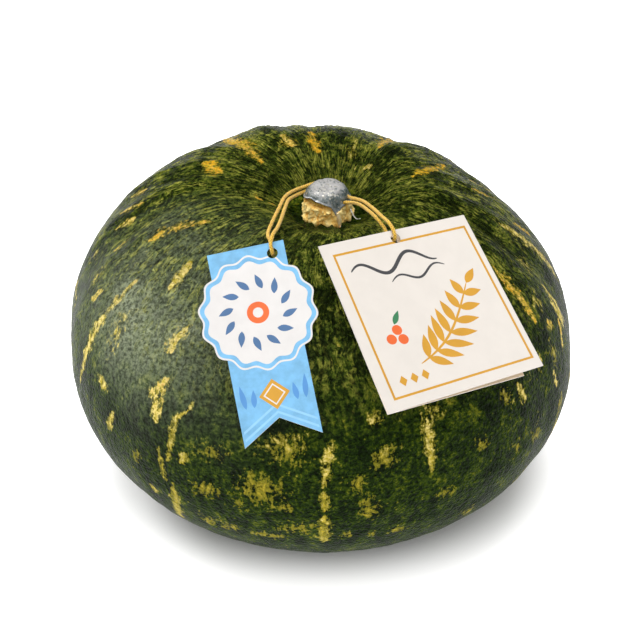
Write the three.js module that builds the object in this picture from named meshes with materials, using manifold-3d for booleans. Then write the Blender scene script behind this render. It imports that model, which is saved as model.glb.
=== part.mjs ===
// A green winter squash of the kabocha kind, standing on its blossom end, with its short corky stem,
// the wax that seals the cut stem, and two cards hung from the stem on yellow cord.
// Millimetres, +Z up. The side that carries the cards faces -Y. The origin is the middle of the box
// round the fruit and its cards, at the height of the surface that the squash rests on.

import * as THREE from 'three';
import { mergeVertices } from 'three/addons/utils/BufferGeometryUtils.js';
import Module from 'manifold-3d';

const wasm = await Module();
wasm.setup();

// Driving dimensions of the fruit.
const FRUIT_RADIUS = 105;
const FRUIT_HEIGHT = 141.5;
const CORE_HEIGHT = 70; // lobes swell away from this point on the axis
const STEM_BASE = 129.2;
const STEM_RADIUS = 9.9;
const STEM_SHIFT = 2.8; // the stem stands this far to the right of the middle
const SHOULDER_TILT = 2.7; // the left shoulder is higher than the right one by twice this
const LEAN = 2.6; // the top of the fruit stands this far to the left, and its foot as far to the right
const FURROWS = 10;
const FURROW_DEPTH = 1.9;
const FOOTPRINT_MIDDLE = [0.68, -2.48]; // from the middle of the fruit's widest ring

// Driving dimensions of the neck, the wax and the cord.
const CORD_RADIUS = 0.75;
const CORD_SIDES = 8;
const GAP = 0.3; // between neighbouring pieces
const NECK_RADIUS = 6.6;
const NECK_HEIGHT = STEM_BASE + 9.4; // the lower turn of cord lies at this height
const TURN_RISE = 1.8; // from one turn of cord up to the next
const WAX_RADIUS = 9.1;
const WAX_TOP = STEM_BASE + 15.5;

// Driving dimensions of the cards. Each is measured from the middle of its punched hole.
const CARD_THICKNESS = 0.6;
const HOLE_RADIUS = 2.1;
const RIBBON = { width: 30, length: 77, above: 4.3, right: 5.1, notch: 9.1 };
const BADGE = { radius: 22.3, scallop: 0.8, scallops: 14, below: 21.9 };
const CARD = { width: 67.8, height: 70.9, above: 3.6, fromFold: 33.7, opening: 4.5, backWidth: 61.5 };

// Where each card hangs: the middle of its hole, the way that it faces, and its turn in its own plane.
const RIBBON_PLACE = { hole: [-18.4, -52.2, 145.9], azimuth: -4.7, elevation: 49, roll: 15 };
const CARD_PLACE = { hole: [29.2, -41.1, 145.2], azimuth: 36.2, elevation: 59, roll: -7.9 };

const radians = THREE.MathUtils.degToRad;
const smooth = THREE.MathUtils.smoothstep;

// The fruit's meridian from the blossom scar, round the side and into the basin, then up the stem.
// Each point is a distance from the axis and a height.
const fruitMeridian = new THREE.SplineCurve([
  [0, 2.4], [6.5, 2.6], [12, 1.2], [18, -0.3], [34, -0.4], [55, 4], [77.5, 15.2], [95, 33],
  [103.4, 51], [FRUIT_RADIUS, 68], [101.4, 90], [91, 109.5], [75.5, 125], [59.5, 136], [45, FRUIT_HEIGHT],
  [32, 140.6], [21.5, 136.2], [14.5, 131.6],
].map(([r, z]) => new THREE.Vector2(r, z)));

const stemMeridian = new THREE.SplineCurve([
  [14.5, 131.6], [11.2, STEM_BASE + 1.7], [10, STEM_BASE + 3.6], [STEM_RADIUS, STEM_BASE + 6.4],
  [9.4, NECK_HEIGHT - 2], [7.1, NECK_HEIGHT - 1.3], [NECK_RADIUS, NECK_HEIGHT - 0.2],
  [NECK_RADIUS, NECK_HEIGHT + 2], [6.1, NECK_HEIGHT + 3.7], [3.6, NECK_HEIGHT + 4.3], [0, NECK_HEIGHT + 4.4],
].map(([r, z]) => new THREE.Vector2(r, z)));

// How far the skin stands out from its meridian: ten soft furrows, lumps between them and folds in the basin.
function skinRelief(phi, radius, height) {
  const behind = Math.max(0, Math.sin(phi)) ** 2;
  const bent = phi + 0.31 * behind + 0.09 * Math.sin(3 * phi + 0.8) + 0.04 * Math.sin(7 * phi + 2.1);
  const furrow = Math.abs(Math.cos(FURROWS / 2 * bent)) ** 7;
  const body = smooth(height, 8, 60);
  const rim = smooth(height, 95, 135);
  const basin = 1 - smooth(radius, 16, 44);
  const lumps = Math.sin(17 * phi + 0.5 * Math.sin(2 * phi)) + 0.7 * Math.sin(23 * phi + 1.3);
  return -FURROW_DEPTH * furrow * (0.35 * body + 0.65 * rim) + 0.5 * lumps * rim
    + 0.6 * basin * rim * Math.sin(13 * phi + 0.06 * radius);
}

// The round outline isn't quite a circle, and the lower left side is a little flat.
function outOfRound(phi, height) {
  const flat = Math.max(0, -Math.cos(phi)) ** 3 * smooth(height, 5, 30) * (1 - smooth(height, 50, 85));
  return 1 + 0.005 * Math.cos(2 * phi - 0.9) + 0.004 * Math.cos(3 * phi + 1.2) - 0.012 * flat;
}

// Cork grows in blunt, fissured ribs, broader towards the foot.
function corkRelief(phi, height) {
  const up = height - STEM_BASE;
  const ribs = 0.45 * Math.sin(5 * phi + 0.35 * up) + 0.35 * Math.sin(9 * phi - 0.5 * up + 1);
  const knobs = 0.32 * Math.sin(14 * phi + 1.9 * Math.sin(0.9 * up)) * Math.sin(1.1 * up + 2 * phi);
  const belowNeck = 1 - smooth(height, NECK_HEIGHT - 2.9, NECK_HEIGHT - 1.4);
  return (ribs + knobs) * belowNeck + 0.8 * (1 - smooth(up, 0, 3)) * Math.sin(5 * phi + 2);
}

// A point of the fruit's skin or of its stem, grown outwards by a clearance where one is asked for.
function skinPoint(curve, share, phi, grown) {
  const base = curve.getPoint(share);
  const onStem = curve === stemMeridian ? smooth(share, 0, 0.12) : 0;
  const point = new THREE.Vector3(Math.cos(phi) * base.x, Math.sin(phi) * base.x, base.y);
  const fromCore = point.clone().setZ(base.y - CORE_HEIGHT);
  const swell = skinRelief(phi, base.x, base.y) * (1 - onStem) * smooth(base.x, 0, 9);
  point.addScaledVector(fromCore.normalize(), swell);
  const stretch = THREE.MathUtils.lerp(outOfRound(phi, base.y), 1, smooth(base.y, 100, 140));
  point.x *= stretch;
  point.y *= stretch;
  const outward = corkRelief(phi, base.y) * onStem * smooth(base.x, 0, 5) + grown;
  const radius = Math.max(base.x, 1e-6);
  point.x += Math.cos(phi) * Math.min(outward, radius);
  point.y += Math.sin(phi) * Math.min(outward, radius);
  const up = smooth(base.y, 50, 135);
  point.z -= SHOULDER_TILT * up * point.x / FRUIT_RADIUS;
  const nearStem = up * (1 - smooth(base.x, 18, 60));
  point.x += THREE.MathUtils.lerp(LEAN * (CORE_HEIGHT - base.y) / CORE_HEIGHT, STEM_SHIFT, nearStem);
  point.z = Math.max(0, point.z + (curve === stemMeridian && share > 0.9 ? grown : 0));
  return point;
}

// A closed skin over rings of points, each ring run round counter-clockwise seen from above,
// from a single lowest point to a single highest one.
function closedSkin(rings) {
  const around = rings[1].length;
  const vertices = [rings[0][0], ...rings.slice(1, -1).flat(), rings.at(-1)[0]];
  const last = vertices.length - 1;
  const at = (ring, step) => 1 + (ring - 1) * around + (step % around);
  const faces = [];
  for (let step = 0; step < around; step++) {
    faces.push(0, at(1, step + 1), at(1, step));
    for (let ring = 1; ring < rings.length - 2; ring++) {
      faces.push(at(ring, step), at(ring, step + 1), at(ring + 1, step + 1));
      faces.push(at(ring, step), at(ring + 1, step + 1), at(ring + 1, step));
    }
    faces.push(last, at(rings.length - 2, step), at(rings.length - 2, step + 1));
  }
  const geometry = new THREE.BufferGeometry();
  geometry.setAttribute('position', new THREE.Float32BufferAttribute(vertices.flatMap((v) => v.toArray()), 3));
  geometry.setIndex(faces);
  return geometry;
}

function ringsOf(curve, count, around, grown, first, last) {
  const rings = [];
  for (let i = first; i <= last; i++) {
    const ring = [];
    for (let step = 0; step < around; step++) {
      ring.push(skinPoint(curve, i / count, 2 * Math.PI * step / around, grown));
    }
    rings.push(ring);
  }
  return rings;
}

// The fruit with its stem in one skin. Only the stem is asked for where a cutter is needed.
const AROUND = 72;
const FRUIT_RINGS = 36;
const STEM_RINGS = 16;

function fruitGeometry() {
  const fruit = ringsOf(fruitMeridian, FRUIT_RINGS, AROUND, 0, 0, FRUIT_RINGS);
  const stem = ringsOf(stemMeridian, STEM_RINGS, AROUND, 0, 1, STEM_RINGS);
  return closedSkin([...fruit, ...stem]);
}

function stemCutter(clearance) {
  const stem = ringsOf(stemMeridian, STEM_RINGS, AROUND, clearance, 2, STEM_RINGS);
  const foot = new THREE.Vector3(STEM_SHIFT, 0, STEM_BASE);
  return closedSkin([[foot], ...stem]);
}

// Turns a closed mesh into a solid, and back.
function solidOf(geometry) {
  const bare = geometry.clone();
  bare.deleteAttribute('normal');
  bare.deleteAttribute('uv');
  const merged = mergeVertices(bare, 1e-4);
  return new wasm.Manifold(new wasm.Mesh({
    numProp: 3,
    vertProperties: merged.attributes.position.array,
    triVerts: new Uint32Array(merged.index.array),
  }));
}

function geometryOf(solid) {
  const mesh = solid.getMesh();
  const geometry = new THREE.BufferGeometry();
  geometry.setAttribute('position', new THREE.Float32BufferAttribute(mesh.vertProperties, 3));
  geometry.setIndex(new THREE.Uint32BufferAttribute(mesh.triVerts, 1));
  return geometry;
}

// How low the wax has run at each bearing round the stem. It stops short at the front left, where the cord
// shows under it, and has one long drip to the right of that.
const DRIP_BEARING = radians(-66);
const GAP_BEARING = radians(-128);
const DRIP_END = STEM_BASE + 4.6;

function waxLip(phi) {
  const awayFromGap = Math.atan2(Math.sin(phi - GAP_BEARING), Math.cos(phi - GAP_BEARING));
  const gap = Math.exp(-((awayFromGap / 0.7) ** 2));
  const drip = Math.exp(-(((phi - DRIP_BEARING) / 0.25) ** 2));
  return NECK_HEIGHT - 1.1 + 3.6 * gap - 0.9 * drip + 0.25 * Math.sin(7 * phi);
}

// The wax cap is a lumpy dome with a rolled lip and one drip, hollowed to fit over the stem and the cord.
function waxGeometry(cords) {
  const around = 44;
  const rows = 9;
  const rings = [[new THREE.Vector3(STEM_SHIFT, 0, NECK_HEIGHT + 1)]];
  for (let row = 0; row < rows; row++) {
    const share = Math.max(0, row - 1) / (rows - 1);
    const ring = [];
    for (let step = 0; step < around; step++) {
      const phi = -Math.PI + 2 * Math.PI * step / around;
      const lip = waxLip(phi);
      const swell = WAX_RADIUS + 0.2 * Math.sin(2 * phi + 1) + 0.7 * (1 - smooth(share, 0, 0.35));
      const radius = row === 0 ? swell - 1 : swell * Math.cos(share * Math.PI / 2) ** 0.7;
      const height = row === 0 ? lip : lip + 0.4 + (WAX_TOP - lip - 0.4) * Math.sin(share * Math.PI / 2) ** 1.2;
      ring.push(new THREE.Vector3(STEM_SHIFT + Math.cos(phi) * radius, Math.sin(phi) * radius, height));
    }
    rings.push(ring);
  }
  rings.push([new THREE.Vector3(STEM_SHIFT, 0, WAX_TOP + 0.2)]);
  const dripTop = NECK_HEIGHT + 2.6;
  const drip = new THREE.SphereGeometry(1, 14, 10);
  drip.rotateX(Math.PI / 2);
  drip.scale(1.2, 1.5, (dripTop - DRIP_END) / 2);
  drip.rotateZ(DRIP_BEARING);
  const reach = STEM_RADIUS + GAP + 0.3;
  drip.translate(STEM_SHIFT + reach * Math.cos(DRIP_BEARING), reach * Math.sin(DRIP_BEARING),
    (dripTop + DRIP_END) / 2);
  let wax = solidOf(closedSkin(rings)).add(solidOf(drip)).subtract(solidOf(stemCutter(GAP)));
  for (const cord of cords) wax = wax.subtract(solidOf(cord));
  const bodies = wax.decompose().sort((a, b) => b.volume() - a.volume());
  return geometryOf(bodies[0]);
}

// A card's own axes seen from outside: across to the right, up towards its top edge, and out of its face.
function cardAxes(place) {
  const turn = new THREE.Matrix4().makeRotationZ(radians(place.azimuth))
    .multiply(new THREE.Matrix4().makeRotationX(radians(90 - place.elevation)))
    .multiply(new THREE.Matrix4().makeRotationZ(radians(place.roll)));
  const [across, up, out] = [new THREE.Vector3(), new THREE.Vector3(), new THREE.Vector3()];
  turn.extractBasis(across, up, out);
  return { across, up, out, hole: new THREE.Vector3(...place.hole) };
}

function placed(mesh, place) {
  const roll = new THREE.Group();
  roll.rotation.z = radians(place.roll);
  roll.add(mesh);
  const lean = new THREE.Group();
  lean.rotation.x = radians(90 - place.elevation);
  lean.add(roll);
  const card = new THREE.Group();
  card.rotation.z = radians(place.azimuth);
  card.position.set(...place.hole);
  card.add(lean);
  return card;
}

function punchedHole(shape) {
  shape.holes.push(new THREE.Path().absarc(0, 0, HOLE_RADIUS, 0, 2 * Math.PI, true));
  return shape;
}

function cutOut(outline, thickness, segments) {
  return new THREE.ExtrudeGeometry(outline, { depth: thickness, bevelEnabled: false, curveSegments: segments })
    .translate(0, 0, -thickness / 2);
}

// The ribbon card: a swallow-tailed strip, and on it a scalloped badge wider than the strip.
function ribbonGeometry() {
  const right = RIBBON.right;
  const left = right - RIBBON.width;
  const middle = (left + right) / 2;
  const foot = RIBBON.above - RIBBON.length;
  const strip = punchedHole(new THREE.Shape([
    [left, RIBBON.above], [left, foot], [middle, foot + RIBBON.notch], [right, foot], [right, RIBBON.above],
  ].map(([x, y]) => new THREE.Vector2(x, y))));
  const badge = new THREE.Shape();
  const steps = BADGE.scallops * 6;
  for (let step = 0; step < steps; step++) {
    const turn = 2 * Math.PI * step / steps;
    const radius = BADGE.radius + BADGE.scallop * Math.cos(BADGE.scallops * turn);
    const x = middle + radius * Math.sin(turn);
    const y = -BADGE.below + radius * Math.cos(turn);
    if (step === 0) badge.moveTo(x, y);
    else badge.lineTo(x, y);
  }
  const joined = solidOf(cutOut(strip, CARD_THICKNESS, 10)).add(solidOf(cutOut(badge, CARD_THICKNESS, 10)));
  return geometryOf(joined);
}

// The folded card: two leaves that meet in a fold on the left, punched through together.
function foldedCardGeometry() {
  const leaf = (width) => punchedHole(new THREE.Shape([
    [-CARD.fromFold, CARD.above - CARD.height], [width - CARD.fromFold, CARD.above - CARD.height],
    [width - CARD.fromFold, CARD.above], [-CARD.fromFold, CARD.above],
  ].map(([x, y]) => new THREE.Vector2(x, y))));
  const front = cutOut(leaf(CARD.width), CARD_THICKNESS, 10);
  const back = cutOut(leaf(CARD.backWidth), CARD_THICKNESS, 10)
    .translate(CARD.fromFold, 0, 0)
    .rotateY(radians(CARD.opening))
    .translate(-CARD.fromFold, 0, -CARD_THICKNESS * 0.4);
  return geometryOf(solidOf(front).add(solidOf(back)));
}

// A point in the neck's groove, at a bearing round the stem and on the lower or the upper turn.
function neckPoint(bearing, turn = 0) {
  const radius = NECK_RADIUS + GAP + CORD_RADIUS;
  const angle = radians(bearing);
  return new THREE.Vector3(
    STEM_SHIFT + radius * Math.cos(angle), radius * Math.sin(angle), NECK_HEIGHT + turn * TURN_RISE);
}

// A cord rests on the front of its card, bends through the hole and goes back up behind the card.
const LOOP_RADIUS = 3;

function loopThroughHole(place) {
  const { up, out, hole } = cardAxes(place);
  const rise = CARD_THICKNESS / 2 + GAP + CORD_RADIUS;
  return [0, 35, 70, 105, 140, 175].map((turn) => hole.clone()
    .addScaledVector(up, LOOP_RADIUS * (1 - Math.sin(radians(turn))))
    .addScaledVector(out, rise + LOOP_RADIUS * (Math.cos(radians(turn)) - 1)));
}

const vectors = (points) => points.map((point) => new THREE.Vector3(...point));

// From under the wax at the back of the neck, out on the left, through the ribbon card and back above itself.
const ribbonCordPath = [
  neckPoint(62), neckPoint(80), neckPoint(98), neckPoint(116),
  ...vectors([
    [-3, 5.2, 138.7], [-6.6, 2.1, 138.9], [-10.2, -3.2, 140.4], [-12.6, -9.5, 142.6], [-13.8, -18, 144.8],
    [-15.1, -30, 147.6], [-16.7, -41, 150], [-18.4, -47.6, 151],
  ]),
  ...loopThroughHole(RIBBON_PLACE),
  ...vectors([
    [-19.4, -43.6, 145.7], [-20.4, -38.8, 145.5], [-18.9, -30, 145.3], [-16.2, -18, 144.5],
    [-14.3, -9.5, 143.7], [-11.7, -3.2, 142.2], [-7.3, 2.4, 140.8], [-3.2, 5.4, 140.5],
  ]),
  neckPoint(116, 1), neckPoint(98, 1), neckPoint(80, 1),
];

// From the back of the neck, out on the right, through the folded card, back and round the front of the neck.
const foldedCardCordPath = [
  neckPoint(46), neckPoint(30), neckPoint(14),
  ...vectors([
    [11.5, -2.1, 139.1], [13.9, -5.9, 140.8], [17, -11.8, 143.5], [20.4, -20.8, 146.4],
    [24, -30.5, 148.7], [27, -36.6, 149.2],
  ]),
  ...loopThroughHole(CARD_PLACE),
  ...vectors([
    [25.2, -33.7, 144.9], [22, -29.1, 146.9], [19, -21.5, 145.3], [15.6, -12.6, 142.4],
    [12.9, -7.7, 140], [9.9, -5.6, 138.7],
  ]),
  neckPoint(-62), neckPoint(-80), neckPoint(-100), neckPoint(-125), neckPoint(-150), neckPoint(-172),
];

function cordGeometry(points, radius, steps) {
  const section = new THREE.Shape();
  for (let side = 0; side < CORD_SIDES; side++) {
    const turn = 2 * Math.PI * side / CORD_SIDES;
    const place = [radius * Math.cos(turn), radius * Math.sin(turn)];
    if (side === 0) section.moveTo(...place);
    else section.lineTo(...place);
  }
  const path = new THREE.CatmullRomCurve3(points, false, 'centripetal');
  return new THREE.ExtrudeGeometry(section, { steps, bevelEnabled: false, extrudePath: path });
}

const skin = new THREE.MeshStandardMaterial({ name: 'rind', color: 0x2f4423, roughness: 0.42, metalness: 0 });
const wax = new THREE.MeshStandardMaterial({ name: 'wax', color: 0xa9b2b6, roughness: 0.3, metalness: 0.25 });
const bluePrint = new THREE.MeshStandardMaterial({ name: 'blue_card', color: 0x7ab9e2, roughness: 0.55, metalness: 0 });
const whiteCard = new THREE.MeshStandardMaterial({ name: 'white_card', color: 0xf3ece4, roughness: 0.6, metalness: 0 });
const yarn = new THREE.MeshStandardMaterial({ name: 'yellow_cord', color: 0xe0a92c, roughness: 0.65, metalness: 0 });

function named(name, geometry, material) {
  const mesh = new THREE.Mesh(geometry, material);
  mesh.name = name;
  return mesh;
}

const CORD_STEPS = 72;
const cutters = [ribbonCordPath, foldedCardCordPath]
  .map((path) => cordGeometry(path, CORD_RADIUS + GAP, CORD_STEPS));

const squash = new THREE.Group();
squash.name = 'green_winter_squash';
squash.position.set(-FOOTPRINT_MIDDLE[0], -FOOTPRINT_MIDDLE[1], 0);
squash.add(
  named('squash_fruit', fruitGeometry(), skin),
  named('stem_wax', waxGeometry(cutters), wax),
  placed(named('ribbon_card', ribbonGeometry(), bluePrint), RIBBON_PLACE),
  placed(named('folded_card', foldedCardGeometry(), whiteCard), CARD_PLACE),
  named('ribbon_card_cord', cordGeometry(ribbonCordPath, CORD_RADIUS, CORD_STEPS), yarn),
  named('folded_card_cord', cordGeometry(foldedCardCordPath, CORD_RADIUS, CORD_STEPS), yarn),
);

export default squash;
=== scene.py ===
# A green winter squash of the kabocha kind with a waxed stem, and two cards hung from it on yellow cord.
import math

import bpy
import numpy as np
from mathutils import Matrix, Vector, noise
from mathutils.geometry import delaunay_2d_cdt


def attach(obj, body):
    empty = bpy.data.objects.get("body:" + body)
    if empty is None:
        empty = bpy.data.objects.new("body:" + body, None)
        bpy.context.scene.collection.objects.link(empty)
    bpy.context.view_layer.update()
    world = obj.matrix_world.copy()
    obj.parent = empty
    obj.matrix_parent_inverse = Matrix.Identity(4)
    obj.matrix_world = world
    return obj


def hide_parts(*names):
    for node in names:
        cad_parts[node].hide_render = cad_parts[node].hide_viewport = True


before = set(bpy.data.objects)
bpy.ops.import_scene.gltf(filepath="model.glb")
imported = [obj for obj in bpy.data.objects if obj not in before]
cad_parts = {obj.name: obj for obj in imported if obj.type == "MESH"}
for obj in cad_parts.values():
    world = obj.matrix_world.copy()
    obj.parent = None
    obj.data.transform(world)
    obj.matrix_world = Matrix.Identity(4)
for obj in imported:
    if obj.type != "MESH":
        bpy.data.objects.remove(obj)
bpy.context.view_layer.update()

MM = 0.001
BODY = "root"

# Driving dimensions of the fruit, in millimetres, as the solids have them.
FRUIT_MIDDLE = np.array([-0.68, 2.48, 0.0])  # middle of the fruit's widest ring, from the origin
FRUIT_RADIUS = 105
FRUIT_HEIGHT = 141.5
CORE_HEIGHT = 70
STEM_BASE = 129.2
STEM_RADIUS = 9.9
STEM_SHIFT = 2.8
SHOULDER_TILT = 2.7
LEAN = 2.6
FURROWS = 10
FURROW_DEPTH = 1.9
NECK_RADIUS = 6.6
NECK_HEIGHT = STEM_BASE + 9.4
STEM_TOP = NECK_HEIGHT + 4.4
TURN_RISE = 1.8
WAX_RADIUS = 9.1
WAX_TOP = STEM_BASE + 15.5
CORD_RADIUS = 0.75
GAP = 0.3
LOOP_RADIUS = 3

# Driving dimensions of the cards, from the middle of each punched hole.
CARD_THICKNESS = 0.6
SHEET_THICKNESS = CARD_THICKNESS - 0.1  # the printed sheets are a little thinner than the solids
HOLE_RADIUS = 2.1
RIBBON = {"width": 30, "length": 77, "above": 4.3, "right": 5.1, "notch": 9.1}
BADGE = {"radius": 22.3, "scallop": 0.8, "scallops": 14, "below": 21.9}
CARD = {"width": 67.8, "height": 70.9, "above": 3.6, "from_fold": 33.7, "opening": 4.5, "back_width": 61.5}
CARD_TWIST = 2.3  # how far the paper has warped at each corner
RIBBON_PLACE = {"hole": (-18.4, -52.2, 145.9), "azimuth": -4.7, "elevation": 49, "roll": 15}
CARD_PLACE = {"hole": (29.2, -41.1, 145.2), "azimuth": 36.2, "elevation": 59, "roll": -7.9}

FRUIT_MERIDIAN = np.array([
    (0, 2.4), (6.5, 2.6), (12, 1.2), (18, -0.3), (34, -0.4), (55, 4), (77.5, 15.2), (95, 33),
    (103.4, 51), (FRUIT_RADIUS, 68), (101.4, 90), (91, 109.5), (75.5, 125), (59.5, 136), (45, FRUIT_HEIGHT),
    (32, 140.6), (21.5, 136.2), (14.5, 131.6)])
STEM_MERIDIAN = np.array([
    (14.5, 131.6), (11.2, STEM_BASE + 1.7), (10, STEM_BASE + 3.6), (STEM_RADIUS, STEM_BASE + 6.4),
    (9.4, NECK_HEIGHT - 2), (7.1, NECK_HEIGHT - 1.3), (NECK_RADIUS, NECK_HEIGHT - 0.2),
    (NECK_RADIUS, NECK_HEIGHT + 2), (6.1, NECK_HEIGHT + 3.7), (3.6, NECK_HEIGHT + 4.3),
    (0, STEM_TOP)])


# The camera stands where the photograph was taken from.
CAMERA_DISTANCE = 1.0
CAMERA_RISE = math.radians(36)
CAMERA_AIM = Vector((-0.00076, 0.00404, 0.0751))
CAMERA_LENS = 133.8
SENSOR_WIDTH = 36


def make_camera():
    data = bpy.data.cameras.new("camera")
    data.sensor_width = SENSOR_WIDTH
    data.lens = CAMERA_LENS
    data.clip_start = 0.01
    camera = bpy.data.objects.new("camera", data)
    back = Vector((0, -math.cos(CAMERA_RISE), math.sin(CAMERA_RISE)))
    camera.location = CAMERA_AIM + back * CAMERA_DISTANCE
    camera.rotation_euler = (math.pi / 2 - CAMERA_RISE, 0, 0)
    bpy.context.scene.collection.objects.link(camera)
    bpy.context.scene.camera = camera


# Building a piece from points and faces

def placed(points):
    """Millimetres in the fruit's own frame become metres in the shared frame."""
    return (np.asarray(points, float).reshape(-1, 3) + FRUIT_MIDDLE) * MM


def make_piece(name, points, faces, materials, face_slots=None, smooth_shading=True):
    """A mesh object at the origin whose vertices are given in metres."""
    mesh = bpy.data.meshes.new(name)
    mesh.from_pydata([tuple(p) for p in points], [], [tuple(f) for f in faces])
    for material in materials:
        mesh.materials.append(material)
    if face_slots is not None:
        mesh.polygons.foreach_set("material_index", np.asarray(face_slots, np.int32))
    mesh.polygons.foreach_set("use_smooth", np.full(len(mesh.polygons), smooth_shading))
    mesh.validate()
    mesh.update()
    piece = bpy.data.objects.new(name, mesh)
    bpy.context.scene.collection.objects.link(piece)
    return piece


def add_number(piece, name, values):
    layer = piece.data.attributes.new(name, "FLOAT", "POINT")
    layer.data.foreach_set("value", np.asarray(values, np.float32).ravel())


def add_vector(piece, name, values):
    layer = piece.data.attributes.new(name, "FLOAT_VECTOR", "POINT")
    layer.data.foreach_set("vector", np.asarray(values, np.float32).ravel())


def ring_faces(rings, around):
    """Quads between rings of points, then a fan onto a lowest point and onto a highest one.

    The points run: lowest point, the rings from the bottom up, highest point.
    """
    step = np.arange(around)
    after = (step + 1) % around
    faces = []
    for ring in range(rings - 1):
        low = 1 + ring * around
        high = low + around
        faces += np.stack([low + step, low + after, high + after, high + step], 1).tolist()
    last = 1 + rings * around
    top = last - around
    faces += [[0, 1 + b, 1 + a] for a, b in zip(step, after)]
    faces += [[last, top + a, top + b] for a, b in zip(step, after)]
    return faces


# Materials are built from a few kinds of node

class Finish:
    """One material, and short ways to add nodes to it."""

    def __init__(self, name):
        self.material = bpy.data.materials.new(name)
        self.material.use_nodes = True
        self.tree = self.material.node_tree
        self.shader = self.tree.nodes["Principled BSDF"]

    def node(self, kind, inputs=None, **settings):
        made = self.tree.nodes.new(kind)
        for key, value in settings.items():
            setattr(made, key, value)
        for key, value in (inputs or {}).items():
            self.put(made.inputs[key], value)
        return made

    def put(self, socket, value):
        if isinstance(value, bpy.types.NodeSocket):
            self.tree.links.new(value, socket)
        elif value is not None:
            socket.default_value = value

    def set(self, **values):
        for name, value in values.items():
            self.put(self.shader.inputs[name.replace("_", " ")], value)

    def place(self):
        return self.node("ShaderNodeTexCoord").outputs["Object"]

    def stored(self, name, output="Fac"):
        return self.node("ShaderNodeAttribute", attribute_name=name).outputs[output]

    def sum(self, operation, a, b=0.5):
        return self.node("ShaderNodeMath", {0: a, 1: b}, operation=operation).outputs[0]

    def times(self, a, b):
        return self.sum("MULTIPLY", a, b)

    def stretch(self, vector, x, y, z):
        return self.node("ShaderNodeVectorMath", {0: vector, 1: (x, y, z)}, operation="MULTIPLY").outputs[0]

    def noise(self, where, scale, detail=3.0, roughness=0.5, distortion=0.0, output="Fac"):
        inputs = {"Vector": where, "Scale": scale, "Detail": detail, "Roughness": roughness}
        return self.node("ShaderNodeTexNoise", {**inputs, "Distortion": distortion}).outputs[output]

    def cells(self, where, scale, output="Distance"):
        return self.node("ShaderNodeTexVoronoi", {"Vector": where, "Scale": scale}).outputs[output]

    def remap(self, value, low, high, to_low=0.0, to_high=1.0):
        inputs = {"Value": value, "From Min": low, "From Max": high, "To Min": to_low, "To Max": to_high}
        return self.node("ShaderNodeMapRange", inputs, interpolation_type="SMOOTHSTEP").outputs["Result"]

    def ramp(self, value, *stops):
        made = self.node("ShaderNodeValToRGB", {"Fac": value})
        band = made.color_ramp.elements
        while len(band) < len(stops):
            band.new(0.5)
        for element, (position, colour) in zip(band, stops):
            element.position = position
            element.color = (*colour, 1)
        return made.outputs["Color"]

    def blend(self, share, a, b):
        a, b = ((*value, 1) if isinstance(value, tuple) else value for value in (a, b))
        return self.node("ShaderNodeMix", {0: share, 6: a, 7: b}, data_type="RGBA").outputs[2]

    def bump(self, height, distance, strength=1.0, under=None):
        inputs = {"Strength": strength, "Distance": distance, "Height": height, "Normal": under}
        return self.node("ShaderNodeBump", inputs).outputs["Normal"]


DARK_GREEN = (0.003, 0.007, 0.001)
DEEP_GREEN = (0.009, 0.021, 0.002)
LEAF_GREEN = (0.036, 0.060, 0.003)
# Painted light: the lighter green laid on the top of the skin, as though lit from above
SUNLIT_GREEN = (0.078, 0.112, 0.012)
OLIVE = (0.140, 0.150, 0.010)
MOSS = (0.210, 0.185, 0.018)
YELLOW = (0.760, 0.560, 0.050)
CREAM = (0.920, 0.740, 0.240)
AMBER = (0.920, 0.470, 0.025)
SCAR = (0.300, 0.190, 0.090)
# Colour of the waxy bloom together with a painted sheen on the left shoulder
BLOOM_AND_SHEEN = (0.330, 0.370, 0.250)
# Painted shade: the near-black green laid in the fine creases on the top of the skin
CREASE_SHADE = (0.003, 0.005, 0.001)
RIDGE = (0.430, 0.420, 0.070)
SKIN_SPECULAR = 0.02  # low, because large soft lights would lay a grey haze over the dark skin


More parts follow.
